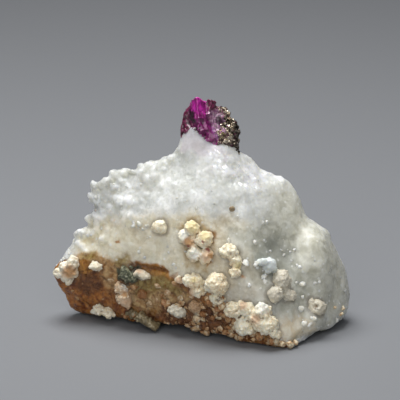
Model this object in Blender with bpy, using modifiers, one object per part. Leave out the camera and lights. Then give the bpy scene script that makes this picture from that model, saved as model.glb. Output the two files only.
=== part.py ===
"""Ruby in matrix: a small ruby with a crust of pyrite, grown on the top of a wedge of white marble.

The marble is one broken piece, 50 mm wide. Nodules and grains of cream and pale minerals sit on its front,
with a patch of green crystals and one olive crystal near the foot.

Lengths here are in millimetres, and MM turns them into Blender's metres. X runs to the right as seen from
the front, Y away from the viewer and Z up. The origin is under the middle of the stone, on the flat foot.

Most places are given as they are seen from the front: how far right of and how far above the middle of the
view, then how deep along Y. at() turns such a place into a point.
"""

import math
import random

import bmesh
import bpy
from mathutils import Euler, Matrix, Vector, noise
from mathutils.bvhtree import BVHTree

MM = 0.001
GAP = 0.3  # clearance between two pieces that touch
FOOT_DEPTH = 0.8  # how far the rough chunks run on below the flat foot

# The view from the front, from a little above the stone.
VIEW_TILT = math.radians(18)
VIEW_DISTANCE = 600
VIEW_MIDDLE = Vector((-0.333, -2.0, 22.78))
VIEW_AHEAD = Vector((0, math.cos(VIEW_TILT), -math.sin(VIEW_TILT)))
VIEW_UP = Vector((0, math.sin(VIEW_TILT), math.cos(VIEW_TILT)))
VIEW_RIGHT = Vector((1, 0, 0))
EYE = VIEW_MIDDLE - VIEW_AHEAD * VIEW_DISTANCE

# The rough chunks of marble. Each is the hull of the corners that are seen from the front, given as right,
# up and depth, and of hidden corners, given as X, Y and Z.
CORE_SEEN = [
    (15.6, -24.6, -12.2), (11.8, -24.4, -11.8), (6.7, -23.4, -9.2), (1.2, -22.6, -6.8),
    (-3.3, -20.9, -5.0), (-12.3, -20.0, -0.7), (-16.7, -19.4, 1.2), (-20.3, -18.4, 4.2),
    (10.3, -17.0, -11.5), (5.8, -16.5, -9.9), (0.0, -13.3, -7.5), (-4.2, -11.5, -6.0),
    (-10.0, -10.3, -4.0), (-15.0, -9.0, -1.9), (-13.0, -4.5, -2.2), (-1.5, -3.0, -5.4),
    (-1.5, 0.5, -4.4), (7.0, 0.6, -4.6), (7.0, -4.0, -6.0), (12.5, -4.6, -3.4), (16.8, -14.5, -5.6),
    (18.3, -23.1, -8.3), (21.8, -21.2, -4.6), (22.8, -20.4, -2.6),
    (-18.4, -3.7, 4.0), (-18.4, 0.8, 4.2), (-17.8, 2.6, 4.0), (-16.4, 3.2, 3.4), (-14.2, 4.6, 3.0),
    (-9.0, 5.9, 2.4), (-5.5, 7.2, 2.0), (-3.0, 7.9, 1.5), (6.5, 7.9, 1.8), (8.9, 7.0, 2.4),
    (10.2, 5.9, 2.3), (12.8, 4.8, 2.7), (14.7, 4.2, 2.9), (15.7, 3.3, 2.5), (17.2, -1.6, 2.7),
]
CORE_HIDDEN = [
    (-18.0, 9.0, 7.0), (-10.0, 12.8, 9.0), (1.0, 13.3, 8.0), (11.0, 13.1, 9.0), (19.0, 8.0, 8.0),
    (-14.5, 8.6, 18.0), (-3.0, 9.2, 22.0), (7.5, 8.6, 20.5), (13.5, 8.0, 15.0),
    (13.0, -9.0, -FOOT_DEPTH), (6.0, -5.0, -FOOT_DEPTH), (-3.0, 1.6, -FOOT_DEPTH),
    (-12.0, 4.8, -FOOT_DEPTH), (-17.0, 7.0, -FOOT_DEPTH), (-14.0, 9.5, -FOOT_DEPTH),
    (0.0, 11.0, -FOOT_DEPTH), (14.0, 9.5, -FOOT_DEPTH), (20.0, 3.0, -FOOT_DEPTH),
]
LEFT_LEDGE_SEEN = [
    (-24.9, -12.0, 3.1), (-24.0, -10.8, 3.6), (-22.6, -9.6, 3.8), (-20.9, -6.7, 3.6), (-23.0, -15.2, 3.6),
    (-21.6, -17.7, 4.8), (-20.4, -18.2, 4.2), (-16.7, -19.2, 1.0), (-12.3, -19.8, -0.5),
    (-15.2, -9.0, -1.6), (-18.8, -8.8, 0.6), (-18.6, -4.0, 4.0),
]
LEFT_LEDGE_HIDDEN = [
    (-18.0, 8.6, 2.0), (-20.0, 8.2, 8.0), (-10.0, 6.0, 3.0), (-12.0, 4.0, 15.0), (-18.5, 7.5, -FOOT_DEPTH),
]
RIGHT_SHOULDER_SEEN = [
    (25.5, -15.8, 2.0), (25.1, -13.5, 1.8), (24.4, -11.6, 2.0), (23.5, -9.6, 2.2), (22.5, -8.0, 2.5),
    (21.5, -5.6, 2.7), (20.7, -4.3, 2.8), (19.1, -3.3, 2.7), (17.1, -2.2, 2.6), (16.2, -4.8, -1.8),
    (19.8, -6.4, -2.4), (16.0, -10.0, -4.8), (20.4, -11.5, -4.4), (25.0, -17.7, 1.2), (24.0, -19.9, -1.7),
    (21.8, -21.0, -4.4), (20.0, -22.2, -6.4),
]
RIGHT_SHOULDER_HIDDEN = [
    (10.0, 4.0, 4.0), (12.0, 4.0, 14.0), (21.8, 7.6, 4.0), (21.0, 7.0, 9.0), (17.5, 6.4, 13.0),
    (20.5, 5.5, -FOOT_DEPTH), (12.0, -6.0, 3.0),
]
SUMMIT_SEEN = [
    (-3.8, 8.8, 2.0), (-4.7, 7.9, 2.0), (0.0, 9.5, 0.6), (2.7, 9.3, -0.5), (4.1, 9.4, -0.2),
    (6.0, 8.9, 1.2), (6.9, 7.9, 2.2), (-4.5, 4.0, -1.0), (-1.0, 1.0, -4.0), (4.5, 1.0, -4.2),
    (5.5, 4.5, -1.6), (8.6, 6.4, 1.6),
]
SUMMIT_HIDDEN = [(0.6, 7.0, 29.4), (-2.4, 5.8, 30.2), (4.6, 6.0, 29.0), (0.0, 8.6, 24.0), (-6.0, 5.0, 25.0)]
APEX_SEEN = [
    (-3.3, 10.6, 2.2), (-2.1, 12.3, 1.4), (-1.0, 13.2, 0.8), (0.3, 11.9, 0.4), (1.5, 10.0, 0.0),
    (2.5, 9.2, -0.3), (-3.9, 8.6, 1.4), (-2.8, 6.0, -0.8), (1.5, 5.5, -1.8),
]
APEX_HIDDEN = [(-1.8, 3.6, 31.4), (0.6, 3.4, 29.8), (0.0, 3.0, 26.0)]

# Small knobs on the marble, as seen: right, up, depth and radius. They stand along its left edge, over its
# left shoulder and on the right shoulder's rim.
KNOBS = [
    (-17.3, 2.6, 3.8, 0.8), (-17.8, 1.2, 4.0, 0.9), (-18.0, -2.6, 3.9, 0.9), (-17.2, -1.2, 3.2, 1.1),
    (-13.8, 4.2, 2.8, 1.0), (-12.0, 4.2, 2.6, 0.9), (-15.3, 3.0, 2.8, 0.9), (-9.2, 5.5, 2.2, 0.8),
    (-16.0, 0.4, 2.2, 1.1), (-14.6, 1.6, 1.8, 1.0), (-12.8, 2.2, 1.4, 1.2), (-10.6, 3.2, 1.4, 1.1),
    (-15.8, -1.8, 2.0, 1.0), (-13.6, -0.6, 0.6, 1.1), (-19.6, -5.6, 3.6, 1.0), (-20.6, -7.6, 3.4, 0.9),
    (12.9, 3.8, 2.4, 0.9), (20.9, -5.6, 2.4, 1.1), (16.2, -18.6, -6.6, 1.2), (-8.0, 3.6, 0.6, 1.2),
]
MARBLE = (0.78, 0.79, 0.76)
MARBLE_VOXEL = 0.6
MARBLE_SMOOTHING = 3
MARBLE_RELIEF = [("broken faces", 7.0, 1.4), ("coarse grain", 2.4, 0.55)]  # spread and height of each
MARBLE_KEPT = 0.128  # share of the fine triangles that stay in the solid

RUBY = (0.45, 0.02, 0.22)
# The ruby's blocks, as seen: right, up, depth, then width, thickness, height, clockwise turn and sides.
RUBY_BLOCKS = [
    (-0.4, 15.3, 2.0, 2.7, 3.2, 3.6, -6, 6),
    (0.1, 13.3, 1.8, 2.9, 3.0, 3.6, -16, 6),
    (1.2, 11.3, 1.4, 2.8, 2.6, 4.8, -44, 6),
    (-1.9, 13.1, 3.4, 2.8, 3.6, 4.4, 8, 6),
    (-2.5, 11.4, 3.2, 1.5, 2.4, 2.8, 10, 5),
    (-1.5, 14.9, 3.6, 1.8, 2.8, 2.6, 25, 6),
    (1.5, 15.4, 2.8, 2.5, 2.8, 2.7, 16, 6),
    (2.3, 13.3, 2.8, 3.3, 3.0, 3.8, 30, 6),
    (2.6, 11.2, 2.6, 2.8, 2.6, 3.2, 10, 6),
    (0.6, 12.6, 4.6, 5.0, 3.0, 6.6, 0, 6),
    (1.2, 14.6, 4.4, 3.0, 2.6, 3.2, 20, 6),
]
RUBY_TWIST = 40  # degrees from one block to the next, about their own lengths

# The pyrite crust: the hull of these places, as seen, with cubes of these sizes set all over it.
PYRITE_HULL = [
    (3.1, 9.7, 0.6), (3.1, 11.0, 0.8), (5.8, 9.0, 1.4), (6.1, 10.8, 1.7), (5.8, 12.0, 1.9),
    (5.0, 13.5, 2.1), (4.3, 14.8, 2.4), (3.5, 15.7, 3.0), (4.2, 12.4, 1.0),
    (3.6, 15.2, 4.6), (5.0, 12.9, 5.2), (5.9, 10.8, 5.2), (6.2, 8.6, 3.6), (3.4, 10.0, 5.6),
]
PYRITE = (0.42, 0.36, 0.26)
PYRITE_SEED = 4
PYRITE_CUBES = 30
PYRITE_CUBE = (0.7, 1.5)
PYRITE_FACING = -0.2  # faces of the hull that look further left than this meet the ruby and carry no cubes

# Grains and nodules: their colour, the share of their thickness that is sunk in the marble, and their lumps.
# Each lump is seen at right and up, with a width, height, clockwise turn and fineness.
GRAIN_ROUGH = 0.3  # how uneven a lump is, as a share of its size
GRAIN_WAVES = 1.6  # how often the unevenness changes round a lump
GRAIN_FLATNESS = 0.9  # thickness as a share of the mean width
CREAM = (0.78, 0.67, 0.47)
WHITE = (0.75, 0.74, 0.69)
PALE = (0.58, 0.59, 0.54)
BLUE_WHITE = (0.66, 0.72, 0.73)
BROWNISH = (0.48, 0.32, 0.20)
GRAINS = {
    "round_nodule": (CREAM, 0.30, [(2.8, -14.0, 4.0, 3.5, 0, 3), (2.9, -16.4, 2.5, 1.7, 0, 2)]),
    "knobbly_nodule": (CREAM, 0.35, [(-1.1, -13.5, 3.7, 2.0, 10, 2), (-0.3, -15.0, 2.7, 1.9, -10, 2)]),
    "lone_cream_grain": (CREAM, 0.40, [(-6.7, -4.5, 2.6, 2.8, 10, 2)]),
    "grain_rosette": (CREAM, 0.35, [
        (-1.3, -4.7, 2.7, 2.4, 0, 2), (0.8, -6.5, 3.2, 2.6, -25, 2), (1.0, -9.2, 2.2, 2.9, 10, 2),
        (-0.9, -9.0, 2.6, 2.6, 0, 2), (-1.4, -7.0, 2.1, 2.2, 20, 2), (-2.7, -6.1, 2.0, 2.6, -10, 2),
    ]),
    "grain_chain": (CREAM, 0.30, [
        (4.8, -8.7, 3.2, 2.4, 15, 2), (5.9, -10.3, 2.0, 2.1, 0, 2), (5.8, -12.0, 1.8, 1.9, 0, 2),
    ]),
    "foot_nodules": (CREAM, 0.38, [
        (10.5, -18.4, 3.1, 2.6, -25, 2), (7.5, -20.8, 3.3, 3.4, 10, 2), (10.9, -20.6, 4.4, 3.4, 20, 2),
        (12.4, -22.2, 2.2, 1.8, 30, 2), (7.6, -18.0, 2.9, 2.6, 10, 2), (5.4, -18.3, 2.7, 2.6, 0, 2),
        (9.2, -19.2, 2.6, 2.8, 0, 2),
    ]),
    "ring_nodule": (PALE, 0.40, [(19.6, -18.0, 2.9, 3.0, 0, 2), (18.6, -16.9, 1.5, 1.6, 0, 1)]),
    "pale_nodules": (PALE, 0.40, [
        (13.6, -13.4, 3.4, 3.5, 0, 2), (14.6, -15.8, 3.0, 2.1, 10, 2), (12.4, -15.7, 3.1, 2.7, 30, 2),
    ]),
    "blue_white_chunk": (BLUE_WHITE, 0.35, [(11.7, -10.8, 2.5, 3.1, -10, 1), (10.3, -10.3, 2.2, 1.7, 0, 1)]),
    "ledge_grain": (WHITE, 0.30, [(-17.3, -11.1, 2.2, 1.6, 20, 2)]),
    "tip_crust": (CREAM, 0.30, [
        (-21.2, -10.5, 2.1, 2.2, 0, 2), (-22.3, -11.3, 2.2, 2.1, 0, 2), (-23.2, -12.2, 2.2, 2.0, 0, 2),
        (-22.1, -13.0, 2.1, 1.8, 0, 2), (-21.1, -12.0, 1.9, 1.9, 0, 2),
    ]),
    "ledge_nodule": (BROWNISH, 0.35, [(-12.6, -16.3, 2.9, 3.0, 0, 2), (-13.0, -14.6, 1.8, 1.7, 0, 2)]),
    "under_ledge_lump": (WHITE, 0.30, [(-16.8, -18.4, 2.2, 1.9, 0, 2), (-15.3, -18.8, 2.3, 1.9, 0, 2)]),
    "dish_grain": (WHITE, 0.30, [(-9.6, -12.6, 3.1, 1.7, 12, 2)]),
    "base_grain": (WHITE, 0.30, [(-3.7, -18.6, 3.1, 1.8, 25, 2)]),
    "slab_grain": (BROWNISH, 0.30, [(-0.8, -17.8, 2.4, 2.6, 15, 1)]),
}

# The patch of green crystals, and the olive one that sticks out under the front.
GREEN = (0.06, 0.11, 0.07)
GREEN_SEED = 3
GREEN_PLACE = (-12.1, -12.3)
GREEN_SPREAD = 0.9
GREEN_CRYSTALS = 7
GREEN_WIDTH = (0.8, 1.2)
GREEN_LENGTH = (1.6, 2.4)
GREEN_LEAN = 0.6  # radians to either side of the sight line
GREEN_BED = (2.6, 1.9, 2.3)
OLIVE = (0.16, 0.15, 0.07)
OLIVE_PLACE = (-8.8, -20.4, -3.9)
OLIVE_SIZE = (2.0, 1.8, 4.2)
OLIVE_TURN = 128

# Where two pieces meet, the first is cut back to leave room for the second.
NEIGHBOURS = [
    ("pyrite_crust", "ruby_crystal"),
    ("knobbly_nodule", "round_nodule"), ("dish_grain", "green_crystals"), ("ledge_nodule", "green_crystals"),
    ("base_grain", "slab_grain"), ("pale_nodules", "blue_white_chunk"), ("foot_nodules", "round_nodule"),
    ("under_ledge_lump", "olive_crystal"),
]


def at(right, up, depth):
    """The point, in metres, that is seen at this place from the front and lies at this depth."""
    seen = VIEW_MIDDLE + VIEW_RIGHT * right + VIEW_UP * up
    ray = seen - EYE
    return (EYE + ray * ((depth - EYE.y) / ray.y)) * MM


def in_metres(corners):
    return [Vector(corner) * MM for corner in corners]


def seen_points(corners):
    return [at(*corner) for corner in corners]


def new_collection(name):
    made = bpy.data.collections.new(name)
    bpy.context.scene.collection.children.link(made)
    return made


def new_material(name, colour, roughness, metallic=0.0):
    material = bpy.data.materials.new(name)
    material.use_nodes = True
    shader = material.node_tree.nodes["Principled BSDF"]
    shader.inputs["Base Color"].default_value = (*colour, 1)
    shader.inputs["Roughness"].default_value = roughness
    shader.inputs["Metallic"].default_value = metallic
    material.diffuse_color = (*colour, 1)
    return material


def new_mesh(name, shape):
    """A mesh from this bmesh, which is freed."""
    mesh = bpy.data.meshes.new(name)
    bmesh.ops.recalc_face_normals(shape, faces=shape.faces)
    shape.to_mesh(mesh)
    shape.free()
    return mesh


def new_piece(name, shape, colour, roughness, metallic=0.0, rounded=False):
    """A visible object of the stone, with a material of its own."""
    made = bpy.data.objects.new(name, new_mesh(name, shape))
    made.data.materials.append(new_material(name, colour, roughness, metallic))
    if rounded:
        made.data.shade_smooth()
    stone.objects.link(made)
    return made


def new_cutter(name, mesh):
    """A hidden object that only shapes others."""
    made = bpy.data.objects.new(name, mesh)
    made.hide_render = True
    made.display_type = "WIRE"
    cutters.objects.link(made)
    return made


def add_boolean(target, operation, other):
    """Combines the target with another object. Overlapping blocks of the target become one."""
    modifier = target.modifiers.new(other.name, "BOOLEAN")
    modifier.operation = operation
    modifier.solver = "EXACT"
    modifier.use_self = True
    modifier.object = other


def add_hull(shape, points):
    """Adds the convex hull of the points to the bmesh."""
    corners = [shape.verts.new(point) for point in points]
    made = bmesh.ops.convex_hull(shape, input=corners)
    inside = [item for item in made["geom_interior"] if isinstance(item, bmesh.types.BMVert)]
    bmesh.ops.delete(shape, geom=inside, context="VERTS")


def view_frame(centre, turn):
    """A matrix at the centre whose X, Y and Z run right, along the sight line and up, turned clockwise."""
    axes = Matrix((VIEW_RIGHT, VIEW_AHEAD, VIEW_UP)).transposed().to_4x4()
    return Matrix.Translation(centre) @ axes @ Matrix.Rotation(math.radians(turn), 4, "Y")


def add_lump(shape, frame, size, seed, grow=0.0, rings=2):
    """Adds an uneven pebble: width, depth and height in the frame's axes, grown all round by grow."""
    made = bmesh.ops.create_icosphere(shape, subdivisions=rings, radius=1)
    for vert in made["verts"]:
        way = vert.co.normalized()
        uneven = 1 + GRAIN_ROUGH * noise.noise(way * GRAIN_WAVES + Vector((seed, 0, 0)))
        half = [side / 2 * uneven + grow for side in size]
        vert.co = frame @ (Vector((way.x * half[0], way.y * half[1], way.z * half[2])) * MM)


def add_prism(shape, frame, size, grow, tip, sides=6, twist=0):
    """Adds a crystal: a prism that stands along the frame's Z, its top narrowed to the share tip."""
    half = [(side / 2 + grow) * MM for side in size]
    spun = Matrix.Diagonal((*half, 1)) @ Matrix.Rotation(math.radians(twist), 4, "Z")
    bmesh.ops.create_cone(
        shape, cap_ends=True, segments=sides, radius1=1, radius2=tip, depth=2, matrix=frame @ spun
    )


def build_marble():
    """The broken wedge: rough chunks and knobs under one skin, with broken faces and a flat foot."""
    shape = bmesh.new()
    for seen, hidden in (
        (CORE_SEEN, CORE_HIDDEN),
        (LEFT_LEDGE_SEEN, LEFT_LEDGE_HIDDEN),
        (RIGHT_SHOULDER_SEEN, RIGHT_SHOULDER_HIDDEN),
        (SUMMIT_SEEN, SUMMIT_HIDDEN),
        (APEX_SEEN, APEX_HIDDEN),
    ):
        add_hull(shape, seen_points(seen) + in_metres(hidden))
    for number, (right, up, depth, radius) in enumerate(KNOBS):
        frame = view_frame(at(right, up, depth), 0)
        add_lump(shape, frame, [2 * radius] * 3, number)
    marble = new_piece("marble_matrix", shape, MARBLE, roughness=0.4)

    remesh = marble.modifiers.new("one skin", "REMESH")
    remesh.mode = "VOXEL"
    remesh.voxel_size = MARBLE_VOXEL * MM
    remesh.use_smooth_shade = True
    smooth = marble.modifiers.new("worn edges", "SMOOTH")
    smooth.iterations = MARBLE_SMOOTHING
    for name, spread, height in MARBLE_RELIEF:
        texture = bpy.data.textures.new(name, "CLOUDS")
        texture.noise_scale = spread * MM
        displace = marble.modifiers.new(name, "DISPLACE")
        displace.texture = texture
        displace.texture_coords = "LOCAL"
        displace.strength = height * MM
    fewer = marble.modifiers.new("fewer faces", "DECIMATE")
    fewer.ratio = MARBLE_KEPT
    add_boolean(marble, "INTERSECT", above_ground)
    return marble


def seat(right, up, sunk):
    """The point this far behind the marble's skin, on the sight line through right and up."""
    ahead = (at(right, up, 0) - EYE * MM).normalized()
    hit = marble_skin.ray_cast(EYE * MM, ahead)[0]
    return hit + ahead * sunk * MM


def add_ruby(shape, grow=0.0):
    for number, (right, up, depth, width, thickness, height, turn, sides) in enumerate(RUBY_BLOCKS):
        frame = view_frame(at(right, up, depth), turn)
        size = (width, thickness, height)
        add_prism(shape, frame, size, grow, tip=0.85, sides=sides, twist=number * RUBY_TWIST)


def add_pyrite(shape, grow=0.0):
    """The crust's hull, with cubes set at random all over it."""
    add_hull(shape, seen_points(PYRITE_HULL))
    shape.normal_update()
    faces = [face for face in shape.faces if face.normal.x > PYRITE_FACING]
    chance = random.Random(PYRITE_SEED)
    for face in chance.choices(faces, [face.calc_area() for face in faces], k=PYRITE_CUBES):
        shares = [chance.random() for _ in face.verts]
        place = sum((v.co * share for v, share in zip(face.verts, shares)), Vector()) / sum(shares)
        side = chance.uniform(*PYRITE_CUBE) + 2 * grow
        spin = Euler([chance.uniform(0, math.pi) for _ in "XYZ"]).to_matrix().to_4x4()
        bmesh.ops.create_cube(shape, size=side * MM, matrix=Matrix.Translation(place) @ spin)


def add_green(shape, grow=0.0):
    """A patch of short prisms that point out of the marble at all angles, with a lump under them."""
    chance = random.Random(GREEN_SEED)
    for _ in range(GREEN_CRYSTALS):
        right, up = (middle + chance.uniform(-1, 1) * GREEN_SPREAD for middle in GREEN_PLACE)
        size = (chance.uniform(*GREEN_WIDTH), chance.uniform(*GREEN_WIDTH), chance.uniform(*GREEN_LENGTH))
        leans = [chance.uniform(-GREEN_LEAN, GREEN_LEAN) for _ in "XYZ"]
        outward = Euler((math.radians(90) + leans[0], leans[1], leans[2])).to_matrix().to_4x4()
        add_prism(shape, view_frame(seat(right, up, sunk=0.3), 0) @ outward, size, grow, tip=0.75)
    add_lump(shape, view_frame(seat(*GREEN_PLACE, sunk=0), 0), GREEN_BED, GREEN_SEED, grow, rings=1)


def add_olive(shape, grow=0.0):
    add_prism(shape, view_frame(at(*OLIVE_PLACE), OLIVE_TURN), OLIVE_SIZE, grow, tip=0.5, twist=20)


def grain_adder(name):
    """The function that adds this grain's lumps, each where it is seen and partly sunk in the marble."""
    _, sunk, lumps = GRAINS[name]

    def add_grain(shape, grow=0.0):
        for number, (right, up, width, height, turn, rings) in enumerate(lumps):
            thickness = (width + height) / 2 * GRAIN_FLATNESS
            frame = view_frame(seat(right, up, thickness * (sunk - 0.5)), turn)
            add_lump(shape, frame, (width, thickness, height), len(name) + number, grow, rings)

    return add_grain


def build_piece(name, add, colour, **finish):
    """A piece, from the function that adds its blocks: what is above the ground and clear of the marble.

    Its grown copy cuts back the neighbours that it meets.
    """
    shape = bmesh.new()
    add(shape)
    piece = new_piece(name, shape, colour, **finish)
    add_boolean(piece, "INTERSECT", above_ground)
    add_boolean(piece, "DIFFERENCE", grown_marble)
    grown = bmesh.new()
    add(grown, GAP)
    rooms[name] = new_cutter("room for " + name, new_mesh(name, grown))
    return piece


for old in list(bpy.data.objects):
    bpy.data.objects.remove(old)
stone = new_collection("ruby_in_matrix")
cutters = new_collection("cutters")

box = bmesh.new()
bmesh.ops.create_cube(box, size=0.1, matrix=Matrix.Translation((0, 0, 0.05)))
above_ground = new_cutter("above the ground", new_mesh("above the ground", box))

marble_matrix = build_marble()
graph = bpy.context.evaluated_depsgraph_get()
marble_skin = BVHTree.FromObject(marble_matrix, graph)
finished = bpy.data.meshes.new_from_object(marble_matrix.evaluated_get(graph))
grown_marble = new_cutter("marble grown by the gap", finished)
growth = grown_marble.modifiers.new("gap", "DISPLACE")
growth.strength = GAP * MM
growth.mid_level = 0

rooms = {}
pieces = {
    "ruby_crystal": build_piece("ruby_crystal", add_ruby, RUBY, roughness=0.3),
    "pyrite_crust": build_piece("pyrite_crust", add_pyrite, PYRITE, roughness=0.35, metallic=0.8),
    "green_crystals": build_piece("green_crystals", add_green, GREEN, roughness=0.4),
    "olive_crystal": build_piece("olive_crystal", add_olive, OLIVE, roughness=0.4),
}
for grain, (grain_colour, _, _) in GRAINS.items():
    pieces[grain] = build_piece(grain, grain_adder(grain), grain_colour, roughness=0.75, rounded=True)
for cut_back, other in NEIGHBOURS:
    add_boolean(pieces[cut_back], "DIFFERENCE", rooms[other])
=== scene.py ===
"""Ruby in matrix: the looks of a broken wedge of white marble with a small ruby on its summit.

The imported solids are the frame, and each piece here is made from the solid that it replaces, or sits on
the marble. Lengths are in millimetres, and MM turns them into Blender's metres. A place on the front is
given as it is seen from there: how far right of and how far above the middle of the view.
"""

import math

import bmesh
import bpy
import numpy as np
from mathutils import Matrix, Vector, noise
from mathutils.bvhtree import BVHTree


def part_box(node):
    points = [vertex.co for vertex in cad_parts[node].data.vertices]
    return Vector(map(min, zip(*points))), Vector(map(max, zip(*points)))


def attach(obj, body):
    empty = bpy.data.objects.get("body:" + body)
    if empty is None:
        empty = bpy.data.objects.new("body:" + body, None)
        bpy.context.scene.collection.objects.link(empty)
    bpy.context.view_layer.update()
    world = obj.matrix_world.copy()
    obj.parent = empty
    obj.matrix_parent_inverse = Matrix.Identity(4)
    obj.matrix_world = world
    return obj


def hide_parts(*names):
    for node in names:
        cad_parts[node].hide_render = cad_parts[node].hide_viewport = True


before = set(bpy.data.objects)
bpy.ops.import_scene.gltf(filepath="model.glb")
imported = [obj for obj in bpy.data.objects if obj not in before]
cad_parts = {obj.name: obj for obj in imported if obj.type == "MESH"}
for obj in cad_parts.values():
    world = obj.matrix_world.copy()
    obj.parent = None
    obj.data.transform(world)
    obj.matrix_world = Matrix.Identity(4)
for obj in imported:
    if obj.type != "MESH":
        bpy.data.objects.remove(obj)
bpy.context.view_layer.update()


# Marble. The specimen is one broken wedge of white, sugary marble, which lets some light through. Iron
# has stained its lower front orange-brown. The fine skin grows over the solid: it is remeshed, worn
# smooth, then broken into facets, lumps and grains.
MM = 0.001
VIEW_TILT = math.radians(18)
VIEW_DISTANCE = 600
VIEW_MIDDLE = np.array((-0.333, -2.0, 22.78))
VIEW_RIGHT = np.array((1.0, 0.0, 0.0))
VIEW_AHEAD = np.array((0.0, math.cos(VIEW_TILT), -math.sin(VIEW_TILT)))
VIEW_UP = np.array((0.0, math.sin(VIEW_TILT), math.cos(VIEW_TILT)))
EYE = VIEW_MIDDLE - VIEW_AHEAD * VIEW_DISTANCE

SKIN_VOXEL = 0.25
SKIN_WEAR = 14  # smoothing steps that take away the solid's own facets
SKIN_CLEAVAGE = (2.2, 0.12, 39)  # width, tilt and fall of the cleaved facets, which fall to the right
SKIN_BREAKS = (1.0, 0.10)  # width and tilt of the smaller facets
SKIN_GLINTS = (0.9, 0.8)  # width and tilt of the glassy facets on the ridge
SKIN_SUGAR = (0.6, 0.10)  # width and height of the finest grains

BALL_STRETCH = (0.65, 1.25)  # the least and the most that a grown ball is stretched along each axis
# Rounded lumps that have grown together on the left slope: how many there are on a square millimetre, how
# far apart they are at least, and their least and greatest width.
LUMPS = {"Density": 0.9, "Apart": 0.7, "Narrow": 0.7, "Wide": 2.0}
# The lumps that stand out of the left edge and the right shoulder: right, up and width.
EDGE_LUMPS = [
    (-17.6, 2.4, 1.9), (-18.2, 0.6, 2.1), (-17.3, -0.3, 1.4), (-18.7, -3.0, 1.9), (-17.4, -2.4, 1.4),
    (11.3, 4.5, 1.5), (13.9, 3.1, 1.5), (-17.2, -4.2, 1.5), (-8.6, 5.7, 1.8), (-7.6, 5.3, 1.5),
    (-9.9, 4.9, 1.2), (-14.4, 4.1, 1.9), (-13.3, 4.3, 1.6), (-12.0, 4.6, 1.0), (-15.8, 3.0, 1.6),
    (-19.2, -5.4, 1.2), (-20.3, -7.2, 1.1),
]

# Where the front swells or sinks: right, up, half width, half height, turn and height.
SKIN_RELIEF = [
    (12.8, -9.2, 4.2, 4.6, 0, -0.8),
    (19.6, -8.6, 2.8, 4.4, 12, 0.7),
    (-7.8, -11.4, 3.6, 0.55, -12, -0.5),
    (-18.6, -13.6, 3.6, 3.2, 0, 0.3),
    (13.0, -15.0, 3.2, 2.6, 0, 0.3),
    (17.6, -22.6, 3.6, 1.2, 32, -0.9),
    (19.3, -20.4, 1.7, 2.8, 0, 0.9),
]
# Notches and swellings of the outline, which run right round the stone: the same values.
SKIN_NOTCHES = [
    (8.2, 6.3, 2.2, 1.1, -38, 0.3),
    (11.0, 5.2, 2.4, 1.0, -32, -0.6),
    (-18.4, -1.4, 1.5, 0.9, 0, -1.0),
    (-18.6, 1.6, 1.1, 0.35, 0, -0.6),
    (-18.6, -4.6, 1.2, 0.7, 20, -0.6),
    (-17.0, 3.7, 1.2, 0.6, 30, -0.3),
    (-11.0, 5.4, 0.9, 0.7, 20, -0.5),
    (12.7, 4.2, 0.8, 0.5, -40, -0.3),
]
# The thin edge against the ruby, which has no relief: the same values.
SUMMIT = (-1.1, 12.1, 1.4, 1.0, 0, 1)
FOOT_RELIEF = (0.2, 1.2)  # how far above the ground the relief begins, and where it is whole
# Where the lower front edge stands clear of the ground: the middle, the edge's depth there, half the width
# and how high it stands. The front above is drawn up too, less and less up to SKIN_LIFT_REACH.
SKIN_LIFTS = [(-13.5, 4.5, 5.0, 0.5), (-4.6, -2.0, 5.5, 1.15), (2.4, -5.0, 3.6, 0.6), (17.8, -7.0, 3.0, 0.5)]
SKIN_LIFT_REACH = 5

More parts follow.
